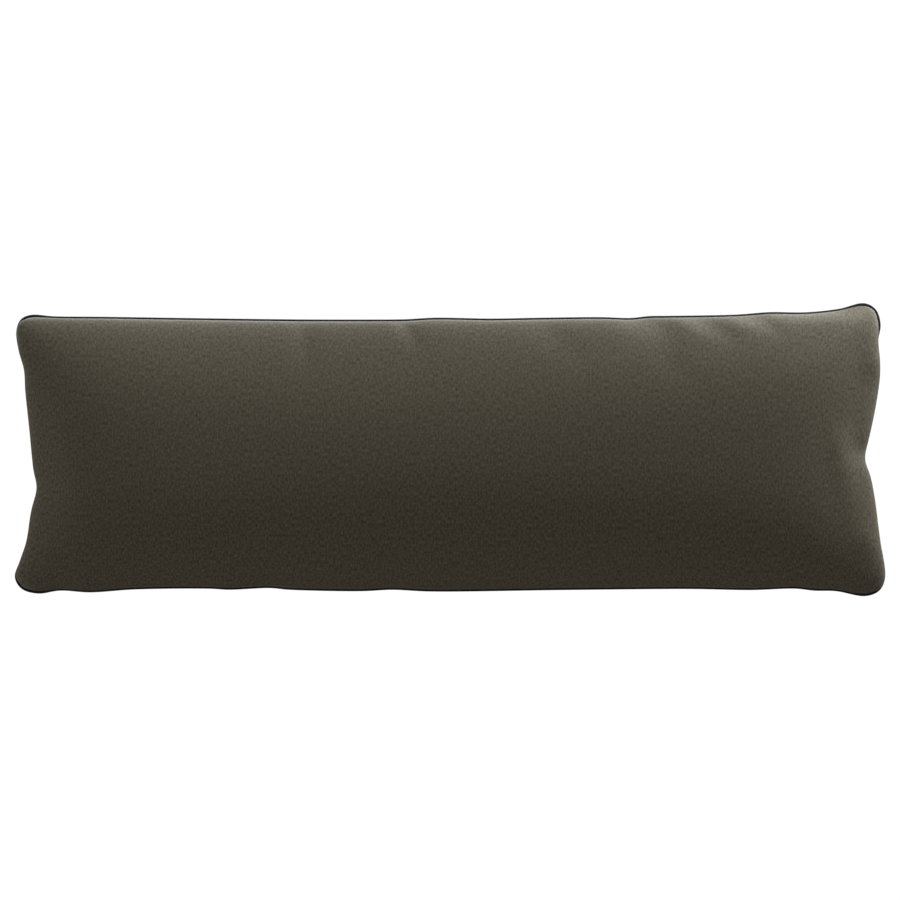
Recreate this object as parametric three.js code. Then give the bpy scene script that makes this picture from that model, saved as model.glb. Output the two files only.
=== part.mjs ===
// Long backrest cushion: two cloth panels sewn edge to edge over a soft fill, with a thin round
// piping caught in the seam. It lies on its back with the front face up.
// Millimetres, +Z up, +X along the cushion, +Y towards its top edge. The origin is on the
// floor under the middle of the cushion.
import * as THREE from "three";

// Driving dimensions
const LENGTH = 1200; // from ear to ear, over the piping
const WIDTH = 404.6; // from the lowest ear to the highest, over the piping
const SEAM_HEIGHT = 54; // of the seam above the floor
const EDGE_RISE = 20; // how far each panel stands up steeply beside the seam
const EDGE_REACH = 4.5; // how quickly it does so, going in from the seam
const FRONT_CROWN = 52; // the front panel's crown, over that rise
const BACK_CROWN = 47; // the back panel's own crown, pressed flat by the floor
const PIPING_RADIUS = 2;
const SEAM_GAP = 0.3; // between the panels' rim and the piping
const RIM_THICKNESS = 2.4; // the turned-in edges of both panels, at the piping
const DRAW_REACH = 150; // how far in from a side its drawn-in outline can still be seen
const FLOOR_ROUNDING = 10; // height over which the back panel turns into its flat resting patch
const EAR_DROOP = 5; // how far the four empty corner ears hang down
const EAR_THINNING = 0.4; // share of the rise beside the seam that is missing at an ear's tip
const EAR_POWER_ALONG = 8; // how sharply an ear ends along the cushion
const EAR_POWER_ACROSS = 4; // and across it
const SEAM_WAVE = 2.5; // rise and fall of the seam between the ears
const SEAM_WAVE_PITCH_X = 430;
const SEAM_WAVE_PITCH_Y = 560;

// How the panels roll out over the seam: how far in they are widest, and how far past the rim
const SIDE_ROLL = { widestAt: 2, overhang: 1.1 };
const END_ROLL = { widestAt: 5, overhang: 1 };
const SIDE_BARE = 50; // length of each long side, from an ear's tip, where the piping is bare
const ROLL_FROM = 0.2; // share of a bare length after which the roll begins

// Fullness of the fill: a higher number is a flatter face with a tighter turn at its edge
const ACROSS_FULLNESS = 2.6;
const ALONG_FULLNESS = 7.5;
const EDGE_STEEPNESS = 0.78; // how the crown leaves the seam: 0.5 is upright, 1 is a plain slope
const BACK_CREASE_SHARE = 0.6; // how deep the creases are in the back panel, against the front
const CREASE_FADE = 1.5; // how fast a crease gets shallower on its way in
const CREASE_LIMIT = 0.7; // share of a panel's height over its rim that creases can press in
const LEAST_LIMIT = 0.001; // of that depth, at the rim itself

// Fineness of the surfaces
const CELLS_ALONG = 102;
const CELLS_ACROSS = 28;
const CELL_GROWTH = 1.35; // each cell is this much longer than its outer neighbour
const LONGEST_CELL_ALONG = 5; // in cells at the edge
const LONGEST_CELL_ACROSS = 9;
const PIPING_SIDES = 8;
const STEPS_PER_BEND = 24; // when the outline is measured

// Three grid points of the back that stand on the floor, with the flat patch a hair above them, so
// that the stiff solid stands firm
const STANDING_POINTS = [
  { column: 18, row: 11 },
  { column: 18, row: 17 },
  { column: 86, row: 14 },
];
const PATCH_HEIGHT = 0.3; // of the flat patch over the standing points

// The outline: how far each side is drawn in from the cushion's box, at places along it
const BOTTOM_SIDE = [
  { along: -537, drawn: 7.9 },
  { along: -496, drawn: 5.5 },
  { along: -434, drawn: 9.5 },
  { along: -330, drawn: 10.4 },
  { along: -305, drawn: 9.0 },
  { along: -247, drawn: 11.4 },
  { along: -224, drawn: 9.2 },
  { along: -123, drawn: 7.2 },
  { along: -79, drawn: 9.1 },
  { along: -27, drawn: 6.7 },
  { along: 166, drawn: 8.8 },
  { along: 331, drawn: 10.2 },
  { along: 414, drawn: 8.7 },
  { along: 476, drawn: 10.5 },
  { along: 502, drawn: 7.7 },
  { along: 532, drawn: 7.0 },
];
const RIGHT_SIDE = [
  { along: -125, drawn: 7.2 },
  { along: -104, drawn: 10.2 },
  { along: -70, drawn: 14.8 },
  { along: -36, drawn: 21.6 },
  { along: -14, drawn: 29.0 },
  { along: 10, drawn: 24.6 },
  { along: 54, drawn: 14.9 },
  { along: 96, drawn: 8.2 },
  { along: 123, drawn: 8.2 },
  { along: 149, drawn: 9.9 },
];
const TOP_SIDE = [
  { along: 536, drawn: 8.0 },
  { along: 490, drawn: 12.8 },
  { along: 440, drawn: 12.7 },
  { along: 394, drawn: 16.1 },
  { along: 300, drawn: 17.9 },
  { along: 274, drawn: 18.2 },
  { along: 249, drawn: 20.8 },
  { along: 207, drawn: 19.6 },
  { along: 125, drawn: 20.4 },
  { along: 56, drawn: 21.6 },
  { along: -20, drawn: 20.4 },
  { along: -62, drawn: 22.6 },
  { along: -123, drawn: 23.0 },
  { along: -206, drawn: 22.8 },
  { along: -330, drawn: 21.3 },
  { along: -475, drawn: 19.2 },
  { along: -545, drawn: 18.5 },
];
const LEFT_SIDE = [
  { along: 137, drawn: 5.4 },
  { along: 108, drawn: 13.3 },
  { along: 82, drawn: 14.8 },
  { along: 27, drawn: 20.7 },
  { along: -28, drawn: 26.4 },
  { along: -52, drawn: 31.0 },
  { along: -84, drawn: 23.2 },
  { along: -125, drawn: 16.5 },
  { along: -153, drawn: 7.3 },
];

// The corner ears: how far each stays inside the box, the two radii of its rounding, and the
// length of the end, from its tip, where its piping is bare
const EARS = {
  bottomLeft: { signX: -1, signY: -1, drawnX: 0, drawnY: 3.7, roundX: 32, roundY: 22.6, bare: 25 },
  bottomRight: { signX: 1, signY: -1, drawnX: 0, drawnY: 0, roundX: 27.2, roundY: 25, bare: 10 },
  topRight: { signX: 1, signY: 1, drawnX: 6.1, drawnY: 0, roundX: 22.5, roundY: 29.5, bare: 50 },
  topLeft: { signX: -1, signY: 1, drawnX: 2.2, drawnY: 16.5, roundX: 19.4, roundY: 22.6, bare: 10 },
};

// The creases: soft troughs that run into the face from a pucker in the seam, and three ridges of
// negative depth by the right end
const CREASES = [
  { fromX: -202, fromY: 181, toX: -194, toY: 90, depth: 5, width: 13 },
  { fromX: -66, fromY: 183, toX: -40, toY: 134, depth: 9, width: 9 },
  { fromX: 130, fromY: 170, toX: 212, toY: 90, depth: 2.7, width: 20 },
  { fromX: 266, fromY: 192, toX: 327, toY: 138, depth: 14, width: 18 },
  { fromX: 248, fromY: 186, toX: 364, toY: 42, depth: 2.8, width: 20 },
  { fromX: 325, fromY: 195, toX: 405, toY: 140, depth: 14, width: 13 },
  { fromX: 403, fromY: 192, toX: 467, toY: 153, depth: 14, width: 11 },
  { fromX: 504, fromY: 209, toX: 595, toY: 169, depth: 11.5, width: 12 },
  { fromX: 567, fromY: 195, toX: 305, toY: 178, depth: 14, width: 7 },
  { fromX: 588, fromY: 119, toX: 580, toY: 225, depth: -4.7, width: 20 },
  { fromX: 572, fromY: -2, toX: 483, toY: 19, depth: 4.2, width: 14 },
  { fromX: 533, fromY: 4, toX: 566, toY: -152, depth: -4.8, width: 20 },
  { fromX: 570, fromY: -129, toX: 541, toY: -135, depth: -2.5, width: 20 },
  { fromX: -570, fromY: -52, toX: -500, toY: -66, depth: 1.5, width: 14 },
];

function smoothStep(low, high, value) {
  return THREE.MathUtils.smoothstep(value, low, high);
}

// The three points of an ear, going round the cushion from the one side to the other.
function earPoints(ear, fromEndToLong) {
  const centreX = LENGTH / 2 - ear.drawnX - ear.roundX;
  const centreY = WIDTH / 2 - ear.drawnY - ear.roundY;
  const angles = fromEndToLong ? [0, Math.PI / 4, Math.PI / 2] : [Math.PI / 2, Math.PI / 4, 0];
  return angles.map(
    (angle) =>
      new THREE.Vector3(
        ear.signX * (centreX + ear.roundX * Math.cos(angle)),
        ear.signY * (centreY + ear.roundY * Math.sin(angle)),
        0,
      ),
  );
}

function longSidePoints(table, signY) {
  return table.map((row) => new THREE.Vector3(row.along, signY * (WIDTH / 2 - row.drawn), 0));
}

function endSidePoints(table, signX) {
  return table.map((row) => new THREE.Vector3(signX * (LENGTH / 2 - row.drawn), row.along, 0));
}

// The closed outline seen from above, counter-clockwise, and the places of its four ear tips on it.
function makeOutline() {
  const stretches = [
    { ear: earPoints(EARS.bottomLeft, true), side: longSidePoints(BOTTOM_SIDE, -1) },
    { ear: earPoints(EARS.bottomRight, false), side: endSidePoints(RIGHT_SIDE, 1) },
    { ear: earPoints(EARS.topRight, true), side: longSidePoints(TOP_SIDE, 1) },
    { ear: earPoints(EARS.topLeft, false), side: endSidePoints(LEFT_SIDE, -1) },
  ];
  const points = [];
  const tipIndices = [];
  for (const { ear, side } of stretches) {
    tipIndices.push(points.length + 1);
    points.push(...ear, ...side);
  }
  const curve = new THREE.CatmullRomCurve3(points, true, "centripetal");
  const tips = tipIndices.map((index) => index / points.length);
  return { curve, tips, bends: points.length };
}

// Shares from 0 to 1 whose cells grow from both edges towards the middle.
function gradedShares(cells, longest) {
  const sizes = [];
  for (let cell = 0; cell < cells; cell++) {
    const fromEdge = Math.min(cell, cells - 1 - cell);
    sizes.push(Math.min(CELL_GROWTH ** fromEdge, longest));
  }
  const total = sizes.reduce((sum, size) => sum + size, 0);
  const shares = [0];
  for (const size of sizes) shares.push(shares[shares.length - 1] + size / total);
  return shares;
}

// Places on the outline between two ear tips, at the given shares of the length between them.
function sidePlaces(outline, from, to, shares) {
  const steps = Math.round((to - from) * outline.bends * STEPS_PER_BEND);
  const measured = [{ place: from, length: 0 }];
  let last = outline.curve.getPoint(from % 1);
  for (let step = 1; step <= steps; step++) {
    const place = from + ((to - from) * step) / steps;
    const point = outline.curve.getPoint(place % 1);
    measured.push({ place, length: measured[step - 1].length + point.distanceTo(last) });
    last = point;
  }
  const total = measured[steps].length;
  return shares.map((share) => {
    const target = share * total;
    const next = Math.max(1, measured.findIndex((mark) => mark.length >= target - 1e-6));
    const before = measured[next - 1];
    const after = measured[next];
    const part = (target - before.length) / (after.length - before.length);
    return (before.place + (after.place - before.place) * part) % 1;
  });
}

// One place of the seam: its outward direction, the rim of the panels and the middle of the piping.
function seamStation(outline, place) {
  const edge = outline.curve.getPoint(place);
  const tangent = outline.curve.getTangent(place);
  const outward = new THREE.Vector3(tangent.y, -tangent.x, 0).normalize();
  const inset = (distance) => edge.clone().addScaledVector(outward, -distance);
  return { outward, rim: inset(2 * PIPING_RADIUS + SEAM_GAP), pipingCentre: inset(PIPING_RADIUS) };
}

// The four sides of the seam, each in the order that goes counter-clockwise round the cushion.
function makeSeam(alongShares, acrossShares) {
  const outline = makeOutline();
  const [bottomLeft, bottomRight, topRight, topLeft] = outline.tips;
  const side = (from, to, shares) =>
    sidePlaces(outline, from, to, shares).map((place) => seamStation(outline, place));
  return {
    bottom: side(bottomLeft, bottomRight, alongShares),
    right: side(bottomRight, topRight, acrossShares),
    top: side(topRight, topLeft, alongShares),
    left: side(topLeft, bottomLeft + 1, acrossShares),
  };
}

// How far out in an ear a place lies: near 1 at the tips, and next to nothing away from them.
function earShare(x, y) {
  return Math.abs((2 * x) / LENGTH) ** EAR_POWER_ALONG * Math.abs((2 * y) / WIDTH) ** EAR_POWER_ACROSS;
}

// The seam's height above the floor: it waves a little, and droops at the ears.
function seamHeight(x, y) {
  const waveAlong = Math.sin((2 * Math.PI * x) / SEAM_WAVE_PITCH_X);
  const waveAcross = Math.cos((2 * Math.PI * y) / SEAM_WAVE_PITCH_Y);
  return SEAM_HEIGHT + SEAM_WAVE * waveAlong * waveAcross - EAR_DROOP * earShare(x, y);
}

// The crown's height as a share of its full height, at shares of the panel's length and width.
function crownShare(u, v) {
  const alongFall = 1 - Math.abs(2 * u - 1) ** ALONG_FULLNESS;
  const acrossFall = 1 - Math.abs(2 * v - 1) ** ACROSS_FULLNESS;
  return Math.max(0, alongFall * acrossFall) ** EDGE_STEEPNESS;
}

// How far a panel has stood up beside the seam, at shares of its length and width.
function edgeRise(u, v) {
  const fromEnd = Math.min(u, 1 - u) * LENGTH;
  const fromSide = Math.min(v, 1 - v) * WIDTH;
  return EDGE_RISE * (1 - Math.exp(-fromEnd / EDGE_REACH)) * (1 - Math.exp(-fromSide / EDGE_REACH));
}

// How deep the creases press the face in at a place: each trough is widest and deepest at the seam.
function creaseDepth(x, y) {
  let depth = 0;
  for (const crease of CREASES) {
    const runX = crease.toX - crease.fromX;
    const runY = crease.toY - crease.fromY;
    const run = Math.hypot(runX, runY);
    const along = ((x - crease.fromX) * runX + (y - crease.fromY) * runY) / run;
    const beside = ((x - crease.fromX) * runY - (y - crease.fromY) * runX) / run;
    const before = Math.min(0, along) / crease.width;
    const fade = 1 - THREE.MathUtils.clamp(along / run, 0, 1);
    const hollow = Math.exp(-((beside / crease.width) ** 2) - before ** 2);
    depth += crease.depth * fade ** CREASE_FADE * hollow;
  }
  return depth;
}

// How much of the roll there is at a distance from an ear's tip: all of it past the bare length.
function rollShare(fromTip, bare) {
  return smoothStep(ROLL_FROM * bare, bare, fromTip);
}

// How far a panel rolls out over a side of the seam, at a distance in from its rim.
function rollOut(distance, roll) {
  const reach = Math.max(0, distance) / roll.widestAt;
  return (roll.overhang + distance) * reach * Math.exp(1 - reach);
}

// A place of the panels seen from above: spread evenly between the four corners, pulled in by the
// sides that are near, and rolled out over their seams.
function panelPlan(seam, alongShares, acrossShares, i, j) {
  const u = alongShares[i];
  const v = acrossShares[j];
  const bottom = seam.bottom[i];
  const right = seam.right[j];
  const top = seam.top[alongShares.length - 1 - i];
  const left = seam.left[acrossShares.length - 1 - j];
  const [bottomLeft, bottomRight, topRight, topLeft] = ["bottom", "right", "top", "left"].map(
    (side) => seam[side][0].rim,
  );
  const low = bottomLeft.clone().lerp(bottomRight, u);
  const high = topLeft.clone().lerp(topRight, u);
  const start = bottomLeft.clone().lerp(topLeft, v);
  const stop = bottomRight.clone().lerp(topRight, v);
  const fromLow = v * WIDTH;
  const fromHigh = (1 - v) * WIDTH;
  const sideShare = rollShare(Math.min(u, 1 - u) * LENGTH, SIDE_BARE);
  const leftShare = rollShare(fromLow, EARS.bottomLeft.bare) * rollShare(fromHigh, EARS.topLeft.bare);
  const rightShare = rollShare(fromLow, EARS.bottomRight.bare) * rollShare(fromHigh, EARS.topRight.bare);
  const sides = [
    { station: bottom, straight: low, inside: fromLow, share: sideShare, roll: SIDE_ROLL },
    { station: top, straight: high, inside: fromHigh, share: sideShare, roll: SIDE_ROLL },
    { station: left, straight: start, inside: u * LENGTH, share: leftShare, roll: END_ROLL },
    { station: right, straight: stop, inside: (1 - u) * LENGTH, share: rightShare, roll: END_ROLL },
  ];
  const drawn = low.clone().lerp(high, v);
  for (const { station, straight, inside } of sides) {
    const pull = Math.max(0, 1 - inside / DRAW_REACH) ** 2;
    drawn.addScaledVector(station.rim.clone().sub(straight), pull);
  }
  const rolled = drawn.clone();
  for (const { station, share, roll } of sides) {
    const distance = station.rim.clone().sub(drawn).dot(station.outward);
    rolled.addScaledVector(station.outward, share * rollOut(distance, roll));
  }
  return rolled;
}

// A height pressed up by the floor: flat on it below the rounding, free above, and a bend between.
function restOnFloor(height) {
  if (height >= FLOOR_ROUNDING) return height;
  if (height <= -FLOOR_ROUNDING) return 0;
  return (height + FLOOR_ROUNDING) ** 2 / (4 * FLOOR_ROUNDING);
}

// The front and back heights over one place of the panels, at shares of their length and width.
function panelHeights(point, u, v) {
  const crown = crownShare(u, v);
  const seam = seamHeight(point.x, point.y);
  const level = SEAM_HEIGHT + (seam - SEAM_HEIGHT) * (1 - crown);
  const rise = edgeRise(u, v) * (1 - EAR_THINNING * earShare(point.x, point.y));
  const limit = Math.max(CREASE_LIMIT * (rise + FRONT_CROWN * crown), LEAST_LIMIT);
  const crease = limit * Math.tanh(creaseDepth(point.x, point.y) / limit);
  const edge = RIM_THICKNESS / 2 + rise;
  const front = level + edge + FRONT_CROWN * crown - crease;
  const back = level - edge - BACK_CROWN * crown + BACK_CREASE_SHARE * crease;
  return { front, back: restOnFloor(back) };
}

function closedGeometry(positions, triangles) {
  const geometry = new THREE.BufferGeometry();
  geometry.setAttribute("position", new THREE.Float32BufferAttribute(positions, 3));
  geometry.setIndex(triangles);
  geometry.computeVertexNormals();
  return geometry;
}

// The filled cushion: the front panel, the back panel and the narrow rim between them.
function cushionGeometry(seam, alongShares, acrossShares) {
  const columns = alongShares.length;
  const rows = acrossShares.length;
  const front = [];
  const back = [];
  for (let j = 0; j < rows; j++) {
    for (let i = 0; i < columns; i++) {
      const point = panelPlan(seam, alongShares, acrossShares, i, j);
      const heights = panelHeights(point, alongShares[i], acrossShares[j]);
      const stands = STANDING_POINTS.some(({ column, row }) => column === i && row === j);
      front.push(point.x, point.y, heights.front);
      back.push(point.x, point.y, stands ? 0 : Math.max(heights.back, PATCH_HEIGHT));
    }
  }
  const backStart = columns * rows;
  const triangles = [];
  const quad = (a, b, c, d) => triangles.push(a, b, c, a, c, d);
  for (let j = 0; j < rows - 1; j++) {
    for (let i = 0; i < columns - 1; i++) {
      const a = j * columns + i;
      quad(a, a + 1, a + columns + 1, a + columns);
      quad(backStart + a, backStart + a + columns, backStart + a + columns + 1, backStart + a + 1);
    }
  }
  const border = borderIndices(columns, rows);
  border.forEach((a, n) => {
    const b = border[(n + 1) % border.length];
    quad(backStart + a, backStart + b, b, a);
  });
  return closedGeometry([...front, ...back], triangles);
}

// The panel grid's border, counter-clockwise from its bottom left corner.
function borderIndices(columns, rows) {
  const border = [];
  for (let i = 0; i < columns - 1; i++) border.push(i);
  for (let j = 0; j < rows - 1; j++) border.push(j * columns + columns - 1);
  for (let i = columns - 1; i > 0; i--) border.push((rows - 1) * columns + i);
  for (let j = rows - 1; j > 0; j--) border.push(j * columns);
  return border;
}

// The piping: a round section carried once round the seam.
function pipingGeometry(seam) {
  const loop = [seam.bottom, seam.right, seam.top, seam.left].flatMap((side) => side.slice(0, -1));
  const positions = [];
  const triangles = [];
  loop.forEach(({ outward, rim, pipingCentre }, n) => {
    const height = seamHeight(rim.x, rim.y);
    const next = (n + 1) % loop.length;
    for (let side = 0; side < PIPING_SIDES; side++) {
      const angle = (2 * Math.PI * side) / PIPING_SIDES;
      const section = pipingCentre.clone().addScaledVector(outward, PIPING_RADIUS * Math.cos(angle));
      positions.push(section.x, section.y, height + PIPING_RADIUS * Math.sin(angle));
      const turn = (side + 1) % PIPING_SIDES;
      const a = n * PIPING_SIDES + side;
      const b = next * PIPING_SIDES + side;
      const c = next * PIPING_SIDES + turn;
      const d = n * PIPING_SIDES + turn;
      triangles.push(a, b, c, a, c, d);
    }
  });
  return closedGeometry(positions, triangles);
}

const panelCloth = new THREE.MeshStandardMaterial({ color: 0x3d382c, roughness: 0.9, metalness: 0 });
const pipingCloth = new THREE.MeshStandardMaterial({ color: 0x1f1f1d, roughness: 0.9, metalness: 0 });

function namedMesh(name, geometry, material) {
  const mesh = new THREE.Mesh(geometry, material);
  mesh.name = name;
  return mesh;
}

function makeCushion() {
  const alongShares = gradedShares(CELLS_ALONG, LONGEST_CELL_ALONG);
  const acrossShares = gradedShares(CELLS_ACROSS, LONGEST_CELL_ACROSS);
  const seam = makeSeam(alongShares, acrossShares);
  const group = new THREE.Group();
  group.add(namedMesh("cushion_body", cushionGeometry(seam, alongShares, acrossShares), panelCloth));
  group.add(namedMesh("piping", pipingGeometry(seam), pipingCloth));
  return group;
}

export default makeCushion();
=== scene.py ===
"""A long backrest cushion that lies on its back, dressed for rendering.

Two woven panels are sewn edge to edge over a soft fill, and a thin round piping is caught in the
seam. Sizes are in millimetres until a mesh is made. +X runs along the cushion, +Y towards its top
edge and +Z out of its front face.
"""

from __future__ import annotations

import logging
from dataclasses import dataclass, field
from enum import Enum
from typing import Any, Mapping, NamedTuple, Sequence, Union

import bpy
import numpy as np
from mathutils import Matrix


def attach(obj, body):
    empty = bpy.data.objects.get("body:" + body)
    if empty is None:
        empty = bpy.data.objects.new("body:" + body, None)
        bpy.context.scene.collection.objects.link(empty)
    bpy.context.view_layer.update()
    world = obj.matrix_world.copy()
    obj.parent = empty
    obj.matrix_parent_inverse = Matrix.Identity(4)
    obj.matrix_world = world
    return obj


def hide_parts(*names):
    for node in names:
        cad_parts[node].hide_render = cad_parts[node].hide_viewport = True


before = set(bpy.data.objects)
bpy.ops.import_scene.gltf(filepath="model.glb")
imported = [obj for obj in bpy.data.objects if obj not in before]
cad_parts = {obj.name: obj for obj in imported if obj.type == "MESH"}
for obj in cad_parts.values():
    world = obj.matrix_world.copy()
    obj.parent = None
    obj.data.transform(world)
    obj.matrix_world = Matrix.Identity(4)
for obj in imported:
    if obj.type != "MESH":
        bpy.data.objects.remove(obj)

MM = 0.001
CLOTH_UV = "cloth"
ROOT_BODY = "root"
FIRST_FRAME = 1
NOISE_MIDDLE = 0.5

Array = np.ndarray
Colour = tuple[float, float, float, float]
Tint = tuple[float, float, float]
log = logging.getLogger("backrest_cushion")


class Side(Enum):
    """The outline's four sides, in counter-clockwise order from the bottom left ear."""

    BOTTOM = 0
    RIGHT = 1
    TOP = 2
    LEFT = 3


class Place(NamedTuple):
    """How far a side is drawn in from the cushion's box at one place along it."""

    along: float
    drawn: float


class Ear(NamedTuple):
    """A corner ear: its signs, how far it stays inside the box, and its two rounding radii.

    Its piping is bare over a length of the short end, and further on the panel rolls over it.
    """

    sign_x: int
    sign_y: int
    drawn_x: float
    drawn_y: float
    round_x: float
    round_y: float
    bare: float


class Crease(NamedTuple):
    """A soft trough that runs into the face from a pucker in the seam, or a ridge of negative depth."""

    from_x: float
    from_y: float
    to_x: float
    to_y: float
    depth: float
    width: float


BOTTOM_SIDE = (
    Place(-537, 7.9),
    Place(-496, 5.5),
    Place(-434, 9.5),
    Place(-330, 10.4),
    Place(-305, 9.0),
    Place(-247, 11.4),
    Place(-224, 9.2),
    Place(-123, 7.2),
    Place(-79, 9.1),
    Place(-27, 6.7),
    Place(166, 8.8),
    Place(331, 10.2),
    Place(414, 8.7),
    Place(476, 10.5),
    Place(502, 7.7),
    Place(532, 7.0),
)
RIGHT_SIDE = (
    Place(-125, 7.2),
    Place(-104, 10.2),
    Place(-70, 14.8),
    Place(-36, 21.6),
    Place(-14, 29.0),
    Place(10, 24.6),
    Place(54, 14.9),
    Place(96, 8.2),
    Place(123, 8.2),
    Place(149, 9.9),
)
TOP_SIDE = (
    Place(536, 8.0),
    Place(490, 12.8),
    Place(440, 12.7),
    Place(394, 16.1),
    Place(300, 17.9),
    Place(274, 18.2),
    Place(249, 20.8),
    Place(207, 19.6),
    Place(125, 20.4),
    Place(56, 21.6),
    Place(-20, 20.4),
    Place(-62, 22.6),
    Place(-123, 23.0),
    Place(-206, 22.8),
    Place(-330, 21.3),
    Place(-475, 19.2),
    Place(-545, 18.5),
)
LEFT_SIDE = (
    Place(137, 5.4),
    Place(108, 13.3),
    Place(82, 14.8),
    Place(27, 20.7),
    Place(-28, 26.4),
    Place(-52, 31.0),
    Place(-84, 23.2),
    Place(-125, 16.5),
    Place(-153, 7.3),
)
EARS = (
    Ear(-1, -1, 0.0, 3.7, 32.0, 22.6, 25.0),
    Ear(1, -1, 0.0, 0.0, 27.2, 25.0, 10.0),
    Ear(1, 1, 6.1, 0.0, 22.5, 29.5, 50.0),
    Ear(-1, 1, 2.2, 16.5, 19.4, 22.6, 10.0),
)
CREASES = (
    Crease(-202, 181, -194, 90, 5.0, 13),
    Crease(-66, 183, -40, 134, 9.0, 9),
    Crease(130, 170, 212, 90, 2.7, 20),
    Crease(266, 192, 327, 138, 14.0, 18),
    Crease(248, 186, 364, 42, 2.8, 20),
    Crease(325, 195, 405, 140, 14.0, 13),
    Crease(403, 192, 467, 153, 14.0, 11),
    Crease(504, 209, 595, 169, 11.5, 12),
    Crease(567, 195, 305, 178, 14.0, 7),
    Crease(588, 119, 580, 225, -4.7, 20),
    Crease(572, -2, 483, 19, 4.2, 14),
    Crease(533, 4, 566, -152, -4.8, 20),
    Crease(570, -129, 541, -135, -2.5, 20),
    Crease(-570, -52, -500, -66, 1.5, 14),
)


def smooth_step(low: float, high: float, value: Array) -> Array:
    """Ease from 0 at low to 1 at high, as 3t squared less 2t cubed.

    Args:
        low: Where the step begins.
        high: Where it ends.
        value: The places to ease.

    Returns:
        The eased shares, from 0 to 1.
    """
    t = np.clip((value - low) / (high - low), 0.0, 1.0)
    return t * t * (3.0 - 2.0 * t)


def graded_shares(cells: int, growth: float, longest: float) -> Array:
    """Divide 0 to 1 into cells that grow from both ends towards the middle.

    A cell is growth times as long as its outer neighbour, up to longest times the outermost.

    Args:
        cells: How many cells there are.
        growth: Ratio of neighbouring cells.
        longest: Length of the longest cell, in outermost cells.

    Returns:
        The cells' ends, one more than the cells.
    """
    index = np.arange(cells)
    from_end = np.minimum(index, cells - 1 - index)
    sizes = np.minimum(growth**from_end, longest)
    ends = np.concatenate([[0.0], np.cumsum(sizes)])
    return ends / ends[-1]


def closed_curve(points: Array, steps: int) -> Array:
    """Draw a closed centripetal Catmull-Rom curve through points.

    Each stretch is a cubic whose slopes come from its four nearest points, spaced by the square
    root of the distances between them.

    Args:
        points: The points, one row each.
        steps: How many places are worked out on each stretch.

    Returns:
        The curve's places in order, steps for each point.
    """
    before, start, end, after = (np.roll(points, shift, axis=0) for shift in (1, 0, -1, -2))
    gap_before = np.sqrt(np.linalg.norm(start - before, axis=1))[:, None]
    gap = np.sqrt(np.linalg.norm(end - start, axis=1))[:, None]
    gap_after = np.sqrt(np.linalg.norm(after - end, axis=1))[:, None]
    middle = (end - start) / gap
    slope_in = (start - before) / gap_before - (end - before) / (gap_before + gap) + middle
    slope_out = middle - (after - start) / (gap + gap_after) + (after - end) / gap_after
    t = np.linspace(0.0, 1.0, steps, endpoint=False)[None, :, None]
    places = (
        (2 * t**3 - 3 * t**2 + 1) * start[:, None]
        + (t**3 - 2 * t**2 + t) * (gap * slope_in)[:, None]
        + (3 * t**2 - 2 * t**3) * end[:, None]
        + (t**3 - t**2) * (gap * slope_out)[:, None]
    )
    return places.reshape(-1, points.shape[1])


class Edge(NamedTuple):
    """One side of the outline: its places and their outward directions, both row by row."""

    places: Array
    outward: Array

    def inset(self, distance: float) -> "Edge":
        """Move the side in by a distance."""
        return Edge(self.places - distance * self.outward, self.outward)


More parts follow.
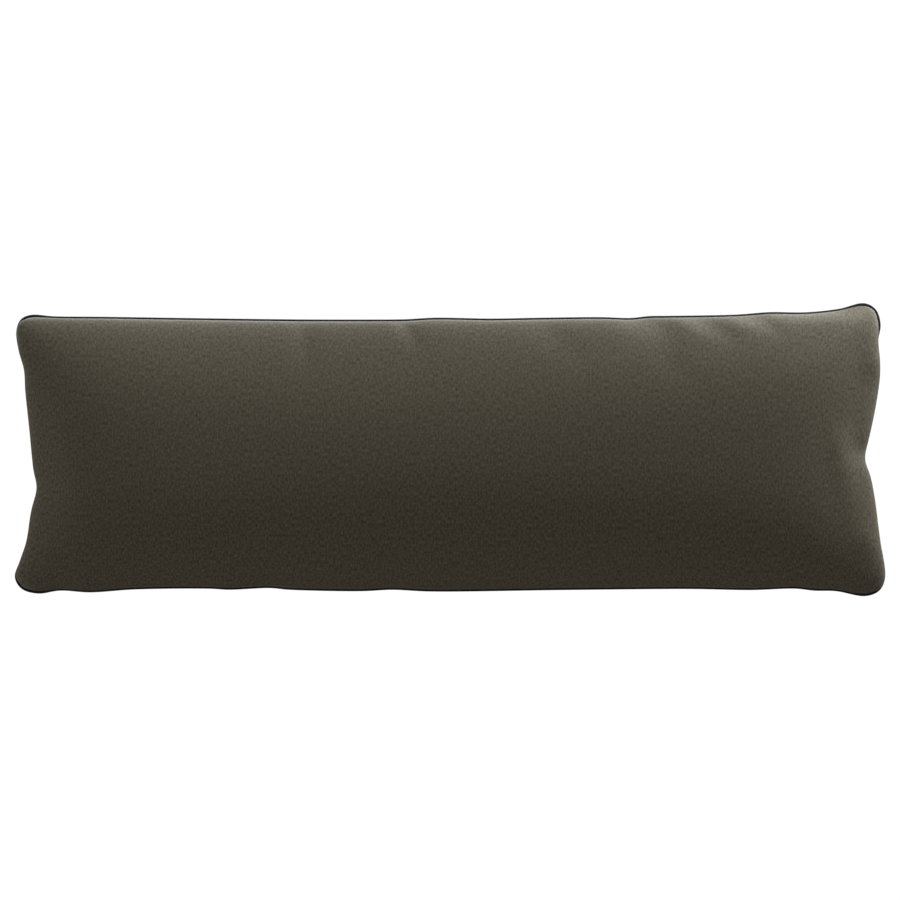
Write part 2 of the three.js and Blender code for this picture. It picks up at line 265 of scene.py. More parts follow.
@dataclass(frozen=True)
class Outline:
    """The cushion's visible outline, seen from above."""

    length: float = 1200.0
    width: float = 404.6
    steps: int = 24

    def ear_points(self, ear: Ear, end_first: bool) -> Array:
        """Place an ear's three points on a quarter of an ellipse.

        Args:
            ear: The ear.
            end_first: Whether the outline reaches it from the cushion's short end.

        Returns:
            The points in the outline's order.
        """
        angles = np.radians([0.0, 45.0, 90.0] if end_first else [90.0, 45.0, 0.0])
        x = self.length / 2 - ear.drawn_x - ear.round_x * (1 - np.cos(angles))
        y = self.width / 2 - ear.drawn_y - ear.round_y * (1 - np.sin(angles))
        return np.stack([ear.sign_x * x, ear.sign_y * y], axis=1)

    def side_points(self, side: Side) -> Array:
        """Place the rows of one side's table at their distance in from the box."""
        table = (BOTTOM_SIDE, RIGHT_SIDE, TOP_SIDE, LEFT_SIDE)[side.value]
        along, drawn = np.array(table, dtype=float).T
        if side in (Side.BOTTOM, Side.TOP):
            sign = 1 if side is Side.TOP else -1
            return np.stack([along, sign * (self.width / 2 - drawn)], axis=1)
        sign = 1 if side is Side.RIGHT else -1
        return np.stack([sign * (self.length / 2 - drawn), along], axis=1)

    def edges(self, along_shares: Array, across_shares: Array) -> dict[Side, Edge]:
        """Cut the closed outline at its four ear tips and space each side out by its length.

        The outward direction is the curve's own direction, turned a quarter to the right.

        Args:
            along_shares: Shares of a long side's length.
            across_shares: Shares of a short end's length.

        Returns:
            Each side's edge, in counter-clockwise order.
        """
        stretches = []
        tips = []
        count = 0
        for side in Side:
            ear = self.ear_points(EARS[side.value], side in (Side.BOTTOM, Side.TOP))
            row = self.side_points(side)
            # An ear's tip is the middle one of its three points.
            tips.append((count + 1) * self.steps)
            count += len(ear) + len(row)
            stretches += [ear, row]
        curve = closed_curve(np.concatenate(stretches), self.steps)
        tips.append(tips[0] + len(curve))
        cut = {}
        for side in Side:
            index = np.arange(tips[side.value], tips[side.value + 1] + 1) % len(curve)
            stretch = curve[index]
            forward = curve[(index + 1) % len(curve)] - curve[index - 1]
            forward /= np.linalg.norm(forward, axis=1)[:, None]
            steps = np.linalg.norm(np.diff(stretch, axis=0), axis=1)
            reached = np.concatenate([[0.0], np.cumsum(steps)])
            shares = along_shares if side in (Side.BOTTOM, Side.TOP) else across_shares
            wanted = shares * reached[-1]
            places = np.stack([np.interp(wanted, reached, axis) for axis in stretch.T], axis=1)
            heading = np.stack([np.interp(wanted, reached, axis) for axis in forward.T], axis=1)
            cut[side] = Edge(places, np.stack([heading[:, 1], -heading[:, 0]], axis=1))
        return cut


@dataclass(frozen=True)
class Seam:
    """The sewn seam: the panels' rim and the piping's middle line, and their height."""

    outline: Outline = field(default_factory=Outline)
    height: float = 54.0
    piping_radius: float = 2.0
    bite: float = 0.5
    wave: float = 2.5
    wave_pitch_x: float = 430.0
    wave_pitch_y: float = 560.0
    ear_droop: float = 5.0
    ear_power_along: float = 8.0
    ear_power_across: float = 4.0

    @property
    def rim_inset(self) -> float:
        """How far the panels' rim lies inside the outline: the piping's width, less its bite."""
        return 2 * self.piping_radius - self.bite

    def ear_share(self, x: Array, y: Array) -> Array:
        """How far a place lies out in an ear: the product of a high power along and one across."""
        along = np.abs(2 * x / self.outline.length) ** self.ear_power_along
        across = np.abs(2 * y / self.outline.width) ** self.ear_power_across
        return along * across

    def level(self, x: Array, y: Array) -> Array:
        """The seam's height at places seen from above: a low wave, and a droop at the four ears.

        The wave is a sine along the cushion times a cosine across it.
        """
        wave_along = np.sin(2 * np.pi * x / self.wave_pitch_x)
        wave_across = np.cos(2 * np.pi * y / self.wave_pitch_y)
        droop = self.ear_droop * self.ear_share(x, y)
        return self.height + self.wave * wave_along * wave_across - droop


@dataclass(frozen=True)
class Fill:
    """How the soft fill rounds the panels."""

    front_crown: float = 47.0
    back_crown: float = 47.0
    across_fullness: float = 2.6
    along_fullness: float = 7.5
    edge_steepness: float = 0.78
    edge_rise: float = 20.0
    edge_reach: float = 4.5
    ear_thinning: float = 0.4
    floor_rounding: float = 10.0

    def crown(self, along: Array, across: Array) -> Array:
        """The crown's height as a share, over places from -1 to 1 along and across the panel.

        It is the product of one minus each place to the power of its fullness, to the power of
        the edge's steepness.
        """
        along_fall = 1 - np.abs(along) ** self.along_fullness
        across_fall = 1 - np.abs(across) ** self.across_fullness
        return np.maximum(along_fall * across_fall, 0.0) ** self.edge_steepness

    def rise(self, from_end: Array, from_side: Array) -> Array:
        """The steep rise beside the seam: the edge's rise times one less e to the minus d, both ways.

        Here d is the distance from the nearer short end, or from the nearer long side, in units
        of the rise's reach.
        """
        end_share = 1 - np.exp(-from_end / self.edge_reach)
        side_share = 1 - np.exp(-from_side / self.edge_reach)
        return self.edge_rise * end_share * side_share

    def rest_on_floor(self, height: Array) -> Array:
        """Press heights flat on the floor, with a parabola between the flat and the free part."""
        rounding = self.floor_rounding
        bent = (np.clip(height, -rounding, rounding) + rounding) ** 2 / (4 * rounding)
        return np.where(height >= rounding, height, bent)


def board_mesh(name: str, places: Array, quads: Array, loop_uv: Array) -> bpy.types.Object:
    """Put arrays into a new smooth-shaded mesh object at the origin.

    Args:
        name: The object's name.
        places: Vertex places in millimetres, one row each.
        quads: Vertex indices, four to a row.
        loop_uv: UV of each face corner, in metres.

    Returns:
        The linked object.
    """
    mesh = bpy.data.meshes.new(name)
    mesh.vertices.add(len(places))
    mesh.vertices.foreach_set("co", (places * MM).astype(np.float32).ravel())
    mesh.loops.add(quads.size)
    mesh.loops.foreach_set("vertex_index", quads.astype(np.int32).ravel())
    mesh.polygons.add(len(quads))
    mesh.polygons.foreach_set("loop_start", np.arange(0, quads.size, 4, dtype=np.int32))
    mesh.polygons.foreach_set("use_smooth", np.ones(len(quads), dtype=bool))
    layer = mesh.uv_layers.new(name=CLOTH_UV)
    layer.data.foreach_set("uv", loop_uv.astype(np.float32).ravel())
    mesh.update(calc_edges=True)
    mesh.validate()
    thing = bpy.data.objects.new(name, mesh)
    bpy.context.scene.collection.objects.link(thing)
    return thing


def add_subdivision(thing: bpy.types.Object, levels: int) -> None:
    """Finish a piece with a subdivision surface, the same on screen and in the render."""
    modifier = thing.modifiers.new("fine_surface", "SUBSURF")
    modifier.levels = levels
    modifier.render_levels = levels


class Value:
    """A number in a shader, whose Python operators add Math nodes."""

    def __init__(self, board: "Board", socket: bpy.types.NodeSocket) -> None:
        """Wrap an output socket of a board."""
        self.board = board
        self.socket = socket

    def __add__(self, other: "Number") -> "Value":
        """Add."""
        return self.board.math("ADD", self, other)

    def __sub__(self, other: "Number") -> "Value":
        """Take away."""
        return self.board.math("SUBTRACT", self, other)

    def __rsub__(self, other: "Number") -> "Value":
        """Take this away from a number."""
        return self.board.math("SUBTRACT", other, self)

    def __mul__(self, other: "Number") -> "Value":
        """Multiply."""
        return self.board.math("MULTIPLY", self, other)

    def __truediv__(self, other: "Number") -> "Value":
        """Divide."""
        return self.board.math("DIVIDE", self, other)

    def __rtruediv__(self, other: "Number") -> "Value":
        """Divide a number by this."""
        return self.board.math("DIVIDE", other, self)

    def __pow__(self, other: "Number") -> "Value":
        """Raise to a power."""
        return self.board.math("POWER", self, other)

    def __mod__(self, other: "Number") -> "Value":
        """Remainder that is never negative."""
        return self.board.math("FLOORED_MODULO", self, other)

    def __abs__(self) -> "Value":
        """Distance from zero."""
        return self.board.math("ABSOLUTE", self)

    __radd__ = __add__
    __rmul__ = __mul__


Number = Union[Value, float, int]


class Board:
    """The node tree of one material."""

    def __init__(self, name: str) -> None:
        """Make a material with an empty tree."""
        self.material = bpy.data.materials.new(name)
        self.material.use_nodes = True
        self.tree = self.material.node_tree
        self.tree.nodes.clear()

    def node(
        self,
        kind: str,
        settings: Mapping[str, Any] | None = None,
        inputs: Mapping[Any, Any] | None = None,
    ) -> bpy.types.Node:
        """Add a node.

        Args:
            kind: The node's type.
            settings: Its own properties, which are set first.
            inputs: Values or links of its sockets, by name or number.

        Returns:
            The node.
        """
        made = self.tree.nodes.new(kind)
        for key, setting in (settings or {}).items():
            setattr(made, key, setting)
        for key, given in (inputs or {}).items():
            socket = made.inputs[key]
            if isinstance(given, Value):
                self.tree.links.new(given.socket, socket)
            elif isinstance(given, bpy.types.NodeSocket):
                self.tree.links.new(given, socket)
            else:
                socket.default_value = given
        return made

    def math(self, operation: str, *operands: Number) -> Value:
        """Add a Math node on one to three operands."""
        made = self.node("ShaderNodeMath", {"operation": operation}, dict(enumerate(operands)))
        return Value(self, made.outputs[0])

    def blend(self, factor: Number, first: Number, second: Number) -> Value:
        """Go from the first number to the second as the factor goes from 0 to 1."""
        made = self.node("ShaderNodeMix", {"data_type": "FLOAT"}, {0: factor, 2: first, 3: second})
        return Value(self, made.outputs[0])

    def tint(self, factor: Number, first: Any, second: Any) -> bpy.types.NodeSocket:
        """Go from the first colour to the second as the factor goes from 0 to 1."""
        made = self.node("ShaderNodeMix", {"data_type": "RGBA"}, {0: factor, 6: first, 7: second})
        return made.outputs[2]

    def noise(self, x: Number, y: Number) -> Value:
        """Soft noise over two numbers, about its middle and mostly between 0.2 and 0.8."""
        place = self.node("ShaderNodeCombineXYZ", inputs={"X": x, "Y": y})
        made = self.node(
            "ShaderNodeTexNoise",
            {"noise_dimensions": "2D"},
            {"Vector": place.outputs[0], "Scale": 1.0, "Detail": 0.0},
        )
        return Value(self, made.outputs[0])

    def cloth_uv(self) -> tuple[Value, Value]:
        """The piece's own flat cloth coordinates, in metres."""
        flat = self.node("ShaderNodeUVMap", {"uv_map": CLOTH_UV})
        parts = self.node("ShaderNodeSeparateXYZ", inputs={0: flat.outputs[0]})
        return Value(self, parts.outputs[0]), Value(self, parts.outputs[1])

    def finish(self, shader: bpy.types.Node) -> bpy.types.Material:
        """Join a shader to the material's output."""
        self.node("ShaderNodeOutputMaterial", inputs={"Surface": shader.outputs[0]})
        return self.material


@dataclass(frozen=True)
class MelangeCloth:
    """A plain weave of mottled yarns, light and dark along their length.

    A slub is the length of a light or dark stretch along a yarn, and a spread is how far its tone
    carries over to the yarns beside it. Lengths are in millimetres.
    """

    name: str
    dark: Colour
    light: Colour
    yarn_pitch: float = 1.3
    warp_slub: float = 4.9
    weft_slub: float = 5.6
    warp_spread: float = 2.2
    weft_spread: float = 1.65
    weft_share: float = 0.58
    slub_contrast: float = 1.2
    yarn_height: float = 0.22
    bead_power: float = 0.7
    bead_cross_power: float = 0.3
    bump_strength: float = 0.6
    roughness: float = 0.9
    specular: float = 0.1
    sheen: float = 0.03
    sheen_roughness: float = 0.35
    sheen_tint: Colour = (1.0, 0.99, 0.97, 1.0)
    turn: float = 0.0

    def material(self) -> bpy.types.Material:
        """Build the finish.

        The cloth's place is counted in yarns. A crossing shows its weft where the sum of the two
        yarn numbers is odd, and else its warp. Each yarn has a tone of its own that changes along
        it. It rises as a rounded bead at each crossing: the product of a power of the sine across
        the yarn and a power of the sine along it.

        Returns:
            The material.
        """
        board = Board(self.name)
        along, across = board.cloth_uv()
        if self.turn:
            cosine, sine = float(np.cos(self.turn)), float(np.sin(self.turn))
            along, across = along * cosine - across * sine, along * sine + across * cosine
        pitch = self.yarn_pitch * MM
        warp_count = along / pitch
        weft_count = across / pitch
        warp_number = board.math("FLOOR", warp_count)
        weft_number = board.math("FLOOR", weft_count)
        weft_over = (warp_number + weft_number) % 2.0
        weft_row = weft_number * (self.yarn_pitch / self.weft_spread)
        warp_row = warp_number * (self.yarn_pitch / self.warp_spread)
        weft_tone = board.noise(along / (self.weft_slub * MM), weft_row)
        warp_tone = board.noise(warp_row, across / (self.warp_slub * MM))
        tone = board.blend(weft_over * self.weft_share, warp_tone, weft_tone)
        stretched = (tone - NOISE_MIDDLE) * self.slub_contrast + NOISE_MIDDLE
        shade = board.math("MINIMUM", board.math("MAXIMUM", stretched, 0.0), 1.0)
        colour = board.tint(shade, self.dark, self.light)
        warp_round = abs(board.math("SINE", warp_count * np.pi))
        weft_round = abs(board.math("SINE", weft_count * np.pi))
        warp_bead = warp_round**self.bead_power * weft_round**self.bead_cross_power
        weft_bead = weft_round**self.bead_power * warp_round**self.bead_cross_power
        height = board.blend(weft_over, warp_bead, weft_bead)
        bump = board.node(
            "ShaderNodeBump",
            inputs={
                "Strength": self.bump_strength,
                "Distance": self.yarn_height * MM,
                "Height": height,
            },
        )
        shader = board.node(
            "ShaderNodeBsdfPrincipled",
            inputs={
                "Base Color": colour,
                "Roughness": self.roughness,
                "Specular IOR Level": self.specular,
                "Sheen Weight": self.sheen,
                "Sheen Roughness": self.sheen_roughness,
                "Sheen Tint": self.sheen_tint,
                "Normal": bump.outputs[0],
            },
        )
        return board.finish(shader)


@dataclass(frozen=True)
class Settling:
    """A short cloth simulation, in which the fill's pressure rounds the sewn panels out.

    The cap is the longest move that is kept, in millimetres.
    """

    pressure: float = 4.0
    bending_stiffness: float = 20.0
    frames: int = 20
    cap: float = 5.0

    def run(self, thing: bpy.types.Object, held: Array) -> None:
        """Blow a piece out between its held points, and keep the result in its mesh.

        The moves are scaled down together until the longest is the cap, and no point goes below
        the floor.

        Args:
            thing: The piece.
            held: Whether each of its points is sewn or pressed on the floor, and stays in place.
        """
        scene = bpy.context.scene
        group = thing.vertex_groups.new(name="held")
        group.add(np.flatnonzero(held).tolist(), 1.0, "REPLACE")
        cloth = thing.modifiers.new("settling", "CLOTH")
        cloth.settings.vertex_group_mass = group.name
        cloth.settings.use_pressure = True
        cloth.settings.uniform_pressure_force = self.pressure
        cloth.settings.bending_stiffness = self.bending_stiffness
        cloth.settings.effector_weights.gravity = 0.0
        cloth.collision_settings.use_collision = False
        cloth.point_cache.frame_end = self.frames
        for number in range(FIRST_FRAME, self.frames + 1):
            scene.frame_set(number)
        settled = thing.evaluated_get(bpy.context.evaluated_depsgraph_get())
        before = np.empty(3 * len(held), dtype=np.float32)
        after = np.empty_like(before)
        thing.data.vertices.foreach_get("co", before)
        settled.data.vertices.foreach_get("co", after)
        thing.modifiers.remove(cloth)
        thing.vertex_groups.remove(group)
        scene.frame_set(FIRST_FRAME)
        move = (after - before).reshape(-1, 3)
        longest = np.linalg.norm(move, axis=1).max()
        log.info("%s: the cloth moved by up to %.1f mm", thing.name, longest / MM)
        places = before.reshape(-1, 3) + move * min(1.0, self.cap * MM / longest)
        places[:, 2] = np.maximum(places[:, 2], 0.0)
        thing.data.vertices.foreach_set("co", places.ravel())
        thing.data.update()


class Roll(NamedTuple):
    """How a panel rolls out over its seam: how far in it is widest, and how far out it then hangs."""

    widest_at: float
    overhang: float


@dataclass
class CushionBody:
    """The two sewn panels over the fill, with the creases that the seam presses into them."""

    seam: Seam
    fill: Fill
    finish: MelangeCloth
    settling: Settling = Settling()
    name: str = "cushion_cloth"
    node: str = "cushion_body"
    slot: str = "panel_cloth"
    cells_along: int = 176
    cells_across: int = 60
    cell_growth: float = 1.35
    longest_cell: float = 2.5
    rim_thickness: float = 2.4
    draw_reach: float = 150.0
    side_roll: Roll = Roll(2.0, 1.6)
    end_roll: Roll = Roll(5.0, 1.0)
    side_bare: float = 50.0
    roll_from: float = 0.2
    crease_fade: float = 1.5
    crease_limit: float = 0.7
    least_limit: float = 0.001
    back_crease_share: float = 0.6
    fullness: float = 0.75
    subdivision: int = 1

    def shares(self) -> tuple[Array, Array]:
        """The grid's shares along the cushion and across it."""
        along = graded_shares(self.cells_along, self.cell_growth, self.longest_cell)
        across = graded_shares(self.cells_across, self.cell_growth, self.longest_cell)
        return along, across

    def roll_share(self, from_tip: Array, bare: float) -> Array:
        """How much of the roll there is at distances from an ear's tip: all past the bare length."""
        return smooth_step(self.roll_from * bare, bare, from_tip)

    def roll_out(self, places: Array, rim: Edge, share: Array, roll: Roll) -> Array:
        """How far a panel rolls out over one side of the seam.

        The overhang plus the distance from the rim, times r times e to the one less r, where r is
        that distance in units of where the roll is widest. The panel then reaches exactly the
        overhang past its rim there.

        Args:
            places: The unrolled panel, seen from above.
            rim: The side's rim, shaped to meet the panel's rows or columns.
            share: How much of the roll there is along the side, shaped alike.
            roll: The side's roll.

        Returns:
            The move of each place.
        """
        distance = ((rim.places - places) * rim.outward).sum(axis=2, keepdims=True)
        reach = np.maximum(distance, 0.0) / roll.widest_at
        return share * (roll.overhang + distance) * reach * np.exp(1 - reach) * rim.outward

    def plan(self) -> Array:
        """Spread the grid between the four rims, seen from above.

        The four corners are blended evenly along and across. Each rim then pulls the places near
        it by its distance from the straight line between its corners, times the square of what
        is left of the draw's reach, and is rolled out over its seam.

        Returns:
            Places with rows across, columns along, and x and y last.
        """
        along, across = self.shares()
        edges = self.seam.outline.edges(along, across)
        rims = {side: edge.inset(self.seam.rim_inset) for side, edge in edges.items()}
        bottom = Edge(*(part[None] for part in rims[Side.BOTTOM]))
        right = Edge(*(part[:, None] for part in rims[Side.RIGHT]))
        top = Edge(*(part[None, ::-1] for part in rims[Side.TOP]))
        left = Edge(*(part[::-1, None] for part in rims[Side.LEFT]))
        u = along[None, :, None]
        v = across[:, None, None]
        length, width = self.seam.outline.length, self.seam.outline.width
        low = (1 - u) * bottom.places[:, :1] + u * bottom.places[:, -1:]
        high = (1 - u) * top.places[:, :1] + u * top.places[:, -1:]
        start = (1 - v) * left.places[:1] + v * left.places[-1:]
        stop = (1 - v) * right.places[:1] + v * right.places[-1:]
        even = (1 - v) * low + v * high
        from_low = v * width
        from_high = (1 - v) * width
        low_left, low_right, high_right, high_left = (ear.bare for ear in EARS)
        side_share = self.roll_share(np.minimum(u, 1 - u) * length, self.side_bare)
        left_share = self.roll_share(from_low, low_left) * self.roll_share(from_high, high_left)
        right_share = self.roll_share(from_low, low_right) * self.roll_share(from_high, high_right)
        sides = (
            (bottom, low, from_low, side_share, self.side_roll),
            (top, high, from_high, side_share, self.side_roll),
            (left, start, u * length, left_share, self.end_roll),
            (right, stop, (1 - u) * length, right_share, self.end_roll),
        )
        drawn = even.copy()
        for rim, straight, inside, _, _ in sides:
            drawn += np.maximum(0.0, 1 - inside / self.draw_reach) ** 2 * (rim.places - straight)
        rolled = drawn.copy()
        for rim, _, _, share, roll in sides:
            rolled += self.roll_out(drawn, rim, share, roll)
        return rolled

    def crease_depth(self, x: Array, y: Array) -> Array:
        """How deep the creases press the face in.

        Each is a bell curve across its line. It fades along the line as a power of what is left
        of it, and stops as a bell curve before its start.
        """
        rows = np.array(CREASES, dtype=float)[:, :, None, None]
        from_x, from_y, to_x, to_y, depth, width = rows.swapaxes(0, 1)
        run = np.hypot(to_x - from_x, to_y - from_y)
        unit_x = (to_x - from_x) / run
        unit_y = (to_y - from_y) / run
        along = (x - from_x) * unit_x + (y - from_y) * unit_y
        beside = (x - from_x) * unit_y - (y - from_y) * unit_x
        before = np.minimum(along, 0.0)
        left = 1 - np.clip(along / run, 0.0, 1.0)
        hollow = np.exp(-((beside / width) ** 2) - (before / width) ** 2)
        return (depth * left**self.crease_fade * hollow).sum(axis=0)

    def surfaces(self) -> tuple[Array, Array]:
        """Work out the front and back panels.

        Each is the seam's level, plus or less half the rim, the rise beside the seam and the
        crown, and pressed in by the creases. A crease goes down by a limit times the hyperbolic
        tangent of its depth over that limit, which is a share of the height over the rim. The
        back panel is flat where it rests.

        Returns:
            Front and back places, each with rows across, columns along, and x, y and z last.
        """
        along, across = self.shares()
        u = along[None, :]
        v = across[:, None]
        plan = self.plan()
        x, y = plan[..., 0], plan[..., 1]
        outline = self.seam.outline
        crown = self.fill.crown(2 * u - 1, 2 * v - 1)
        from_end = np.minimum(u, 1 - u) * outline.length
        from_side = np.minimum(v, 1 - v) * outline.width
        thinning = 1 - self.fill.ear_thinning * self.seam.ear_share(x, y)
        rise = self.fill.rise(from_end, from_side) * thinning
        level = self.seam.height + (self.seam.level(x, y) - self.seam.height) * (1 - crown)
        front_crown = self.fill.front_crown * crown
        back_crown = self.fill.back_crown * crown
        limit = np.maximum(self.crease_limit * (rise + front_crown), self.least_limit)
        crease = limit * np.tanh(self.crease_depth(x, y) / limit)
        half_rim = self.rim_thickness / 2
        front = level + half_rim + rise + front_crown - crease
        back = level - half_rim - rise - back_crown + self.back_crease_share * crease
        back = self.fill.rest_on_floor(back)
        return np.dstack([x, y, front]), np.dstack([x, y, back])

    def flat_cloth(self, panel: Array) -> Array:
        """The panel's flat cut: mean distances between neighbouring columns and rows, added up."""
        column_steps = np.linalg.norm(np.diff(panel, axis=1), axis=2).mean(axis=0)
        row_steps = np.linalg.norm(np.diff(panel, axis=0), axis=2).mean(axis=1)
        u = np.concatenate([[0.0], np.cumsum(column_steps)])
        v = np.concatenate([[0.0], np.cumsum(row_steps)])
        return np.stack(np.meshgrid(u, v), axis=2)

    def build(self) -> bpy.types.Object:
        """Make the closed mesh of both panels and the narrow rim between them.

        Returns:
            The cushion's cloth.
        """
        front, back = self.surfaces()
        rows, columns = front.shape[:2]
        shift = rows * columns
        index = np.arange(shift).reshape(rows, columns)
        corners = (index[:-1, :-1], index[:-1, 1:], index[1:, 1:], index[1:, :-1])
        front_quads = np.stack(corners, axis=2).reshape(-1, 4)
        back_quads = front_quads[:, ::-1] + shift
        border = np.concatenate([index[0, :-1], index[:-1, -1], index[-1, :0:-1], index[:0:-1, 0]])
        following = np.roll(border, -1)
        rim_quads = np.stack([border + shift, following + shift, following, border], axis=1)
        quads = np.concatenate([front_quads, back_quads, rim_quads])
        places = np.concatenate([front.reshape(-1, 3), back.reshape(-1, 3)])
        cuts = [self.flat_cloth(panel).reshape(-1, 2) for panel in (front, back)]
        flat = np.concatenate(cuts)
        flat[shift:, 1] += flat[:shift, 1].max()
        thing = board_mesh(self.name, places, quads, flat[quads] * MM)
        held = np.zeros(len(places), dtype=bool)
        held[border] = True
        held[border + shift] = True
        held[shift:] |= places[shift:, 2] <= 0.0
        self.settling.run(thing, held)
        return thing

    def dress(self, thing: bpy.types.Object) -> None:
        """Give the cloth its finish and tell the frame what it stands for."""
        thing.data.materials.append(self.finish.material())
        add_subdivision(thing, self.subdivision)
        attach(thing, ROOT_BODY)
        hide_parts(self.node)


@dataclass
class Piping:
    """The thin round piping that is caught in the seam all round."""

    seam: Seam
    finish: MelangeCloth
    name: str = "piping_cloth"
    node: str = "piping"
    slot: str = "piping_cloth"
    steps_along: int = 300
    steps_across: int = 100
    sides: int = 12
    subdivision: int = 1

    def path(self) -> tuple[Array, Array]:
        """The piping's middle line and its outward directions, once round the cushion."""
        along = np.linspace(0.0, 1.0, self.steps_along + 1)
        across = np.linspace(0.0, 1.0, self.steps_across + 1)
        edges = self.seam.outline.edges(along, across)
        middles = [edges[side].inset(self.seam.piping_radius) for side in Side]
        places = np.concatenate([middle.places[:-1] for middle in middles])
        outward = np.concatenate([middle.outward[:-1] for middle in middles])
        return places, outward

    def build(self) -> bpy.types.Object:
        """Carry a circle along the path: outward by its cosine and up by its sine.

        Returns:
            The piping.
        """
        plan, outward = self.path()
        inner = plan - outward * (self.seam.rim_inset - self.seam.piping_radius)
        level = self.seam.level(inner[:, 0], inner[:, 1])
        angle = np.linspace(0.0, 2 * np.pi, self.sides, endpoint=False)
        radius = self.seam.piping_radius
        flat = plan[:, None] + radius * np.cos(angle)[None, :, None] * outward[:, None]
        up = level[:, None] + radius * np.sin(angle)[None]
        places = np.dstack([flat, up]).reshape(-1, 3)
        steps = len(plan)
        index = np.arange(steps * self.sides).reshape(steps, self.sides)
        ahead = np.roll(index, -1, axis=0)
        beside = np.roll(index, -1, axis=1)
        both = np.roll(ahead, -1, axis=1)
        quads = np.stack([index, ahead, both, beside], axis=2).reshape(-1, 4)
        lengths = np.linalg.norm(np.roll(plan, -1, axis=0) - plan, axis=1)
        run = np.concatenate([[0.0], np.cumsum(lengths)])
        turn = np.linspace(0.0, 2 * np.pi * radius, self.sides + 1)
        start, end = np.meshgrid(run[:-1], turn[:-1], indexing="ij")
        run_on, turn_on = np.meshgrid(run[1:], turn[1:], indexing="ij")
        loops = [(start, end), (run_on, end), (run_on, turn_on), (start, turn_on)]
        uv = np.stack([np.dstack(pair) for pair in loops], axis=2).reshape(-1, 2)
        return board_mesh(self.name, places, quads, uv * MM)

    def dress(self, thing: bpy.types.Object) -> None:
        """Give the piping its finish and tell the frame what it stands for."""
        thing.data.materials.append(self.finish.material())
        add_subdivision(thing, self.subdivision)
        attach(thing, ROOT_BODY)
        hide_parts(self.node)


WHITE: Colour = (1.0, 1.0, 1.0, 1.0)
NEUTRAL: Tint = (1.0, 1.0, 1.0)
COOL: Tint = (0.92, 1.0, 1.16)


class Lamp(NamedTuple):
    """A soft far light: where it stands round the cushion, how high, how strong and its colour."""

    name: str
    azimuth: float
    elevation: float
    strength: float
    tint: Tint


class Panel(NamedTuple):
    """A light panel: its middle, how it is pitched and turned, its size, its glow and its colour.

    At a pitch of 180 degrees it lies on the floor and faces up. At 90 it stands and faces +Y, or
    from there as many degrees to the left as it is turned.
    """

    name: str
    x: float
    y: float
    z: float
    pitch: float
    turn: float
    length: float
    width: float
    glow: float
    tint: Tint


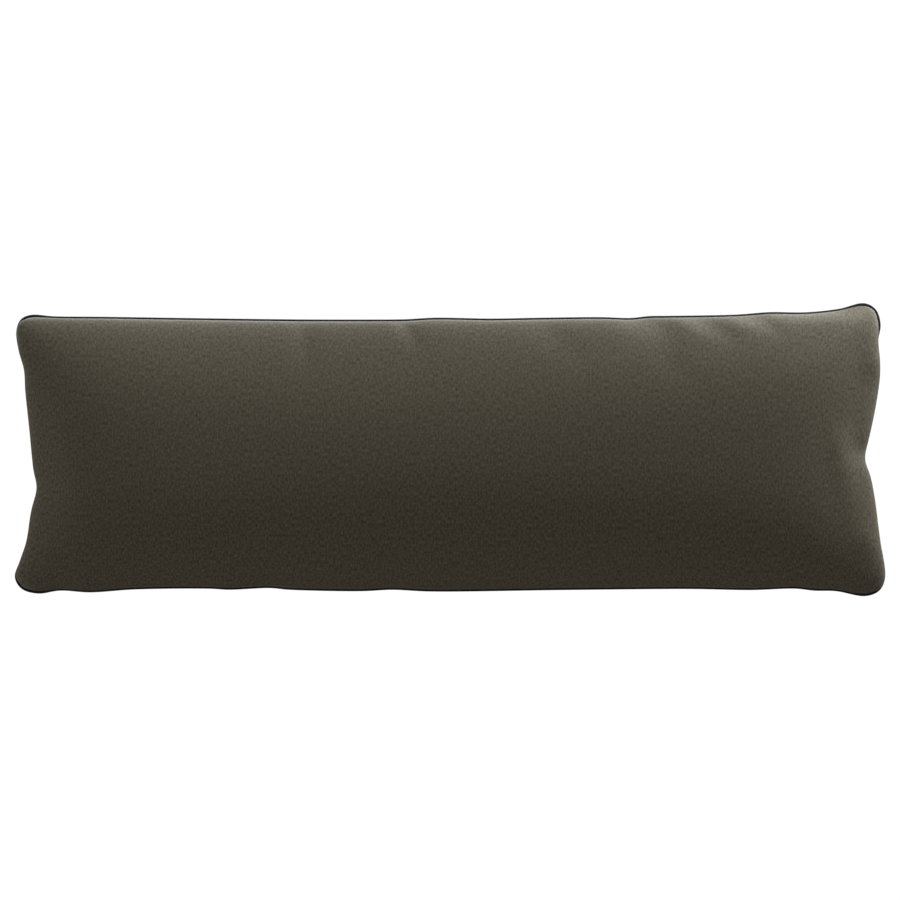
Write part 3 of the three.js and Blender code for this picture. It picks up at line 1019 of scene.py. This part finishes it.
@dataclass
class Studio:
    """The pale floor, the soft lights and the camera over the cushion's face."""

    seam: Seam
    floor_size: float = 40.0
    floor_tone: float = 0.04
    floor_roughness: float = 0.9
    floor_specular: float = 0.1
    floor_glow: float = 1.0
    underlay_depth: float = 1.0
    surround: float = 0.42
    lens: float = 100.0
    sensor: float = 36.0
    frame_width: float = 1239.6
    frame_shift: float = -0.55
    lamp_spread: float = 20.0
    lamps: Sequence[Lamp] = (
        Lamp("right_light", 0.0, 3.0, 3.6, COOL),
        Lamp("top_right_light", 50.0, 3.0, 12.0, COOL),
        Lamp("top_light", 90.0, 3.0, 2.1, COOL),
        Lamp("left_light", 180.0, 3.0, 4.3, COOL),
        Lamp("bottom_light", 240.0, 3.0, 1.0, NEUTRAL),
    )
    panels: Sequence[Panel] = (
        Panel("top_panel", 0.0, 270.0, 4.0, 180.0, 0.0, 1800.0, 150.0, 9.5, COOL),
        Panel("top_right_panel", 650.0, 270.0, 4.0, 180.0, 0.0, 900.0, 150.0, 4.0, COOL),
        Panel("corner_panel", 700.0, 440.0, 70.0, 90.0, 156.0, 400.0, 120.0, 20.0, COOL),
    )

    def lay_sheet(self, name: str, height: float, glow: float) -> bpy.types.Object:
        """Lay a wide plain sheet under the cushion.

        Args:
            name: The sheet's name.
            height: How high it lies, in millimetres.
            glow: How strongly it glows by itself.

        Returns:
            The sheet, marked as a part of the stage.
        """
        half = self.floor_size / 2
        mesh = bpy.data.meshes.new(name)
        plan = ((-half, -half), (half, -half), (half, half), (-half, half))
        corners = [(x, y, height * MM) for x, y in plan]
        mesh.from_pydata(corners, [], [(0, 1, 2, 3)])
        sheet = bpy.data.objects.new(name, mesh)
        bpy.context.scene.collection.objects.link(sheet)
        board = Board(name)
        shader = board.node(
            "ShaderNodeBsdfPrincipled",
            inputs={
                "Base Color": (self.floor_tone, self.floor_tone, self.floor_tone, 1.0),
                "Roughness": self.floor_roughness,
                "Specular IOR Level": self.floor_specular,
                "Emission Color": WHITE,
                "Emission Strength": glow,
            },
        )
        mesh.materials.append(board.finish(shader))
        return sheet

    def build_floor(self) -> None:
        """Lay a pale floor that throws no light up, over a dark sheet that stops the light."""
        floor = self.lay_sheet("floor", 0.0, self.floor_glow)
        floor.visible_diffuse = False
        floor.visible_glossy = False
        self.lay_sheet("underlay", -self.underlay_depth, 0.0)

    def build_lights(self) -> None:
        """Light the surroundings evenly, and set the far lights and the light panels.

        A panel's power is pi times its glow times its area.
        """
        scene = bpy.context.scene
        scene.world = bpy.data.worlds.new("surroundings")
        scene.world.use_nodes = True
        background = scene.world.node_tree.nodes["Background"]
        background.inputs["Color"].default_value = WHITE
        background.inputs["Strength"].default_value = self.surround
        for lamp in self.lamps:
            light = bpy.data.lights.new(lamp.name, "SUN")
            light.energy = lamp.strength
            light.color = lamp.tint
            light.angle = np.radians(self.lamp_spread)
            thing = bpy.data.objects.new(lamp.name, light)
            tilt = np.radians(90.0 - lamp.elevation)
            thing.rotation_euler = (0.0, tilt, np.radians(lamp.azimuth))
            scene.collection.objects.link(thing)
        for panel in self.panels:
            light = bpy.data.lights.new(panel.name, "AREA")
            light.shape = "RECTANGLE"
            light.size = panel.length * MM
            light.size_y = panel.width * MM
            light.energy = np.pi * panel.glow * light.size * light.size_y
            light.color = panel.tint
            thing = bpy.data.objects.new(panel.name, light)
            thing.location = (panel.x * MM, panel.y * MM, panel.z * MM)
            thing.rotation_euler = (np.radians(panel.pitch), 0.0, np.radians(panel.turn))
            thing.visible_camera = False
            scene.collection.objects.link(thing)

    def build_camera(self) -> None:
        """Hang the camera straight above, so that the seam's plane fills the wanted width."""
        data = bpy.data.cameras.new("camera")
        data.lens = self.lens
        data.sensor_width = self.sensor
        distance = self.frame_width * self.lens / self.sensor
        camera = bpy.data.objects.new("camera", data)
        camera.location = (0.0, self.frame_shift * MM, (self.seam.height + distance) * MM)
        bpy.context.scene.collection.objects.link(camera)
        bpy.context.scene.camera = camera

    def build(self) -> None:
        """Set the whole studio up."""
        self.build_floor()
        self.build_lights()
        self.build_camera()
        bpy.context.scene.view_settings.view_transform = "Standard"


def main() -> None:
    """Build the studio, the cushion's cloth and its piping."""
    logging.basicConfig(level=logging.INFO, format="%(name)s: %(message)s")
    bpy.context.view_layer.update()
    seam = Seam()
    panel_cloth = MelangeCloth(
        "panel_cloth",
        dark=(0.0233, 0.019, 0.0101, 1.0),
        light=(0.0722, 0.06, 0.0386, 1.0),
    )
    piping_cloth = MelangeCloth(
        "piping_cloth",
        dark=(0.0098, 0.0087, 0.0065, 1.0),
        light=(0.021, 0.018, 0.0135, 1.0),
        yarn_pitch=0.6,
        turn=np.pi / 4,
        sheen=0.0,
    )
    Studio(seam).build()
    for piece in (CushionBody(seam, Fill(), panel_cloth), Piping(seam, piping_cloth)):
        thing = piece.build()
        piece.dress(thing)
        log.info("%s: %d faces for %s", thing.name, len(thing.data.polygons), piece.node)


if __name__ == "__main__":
    main()
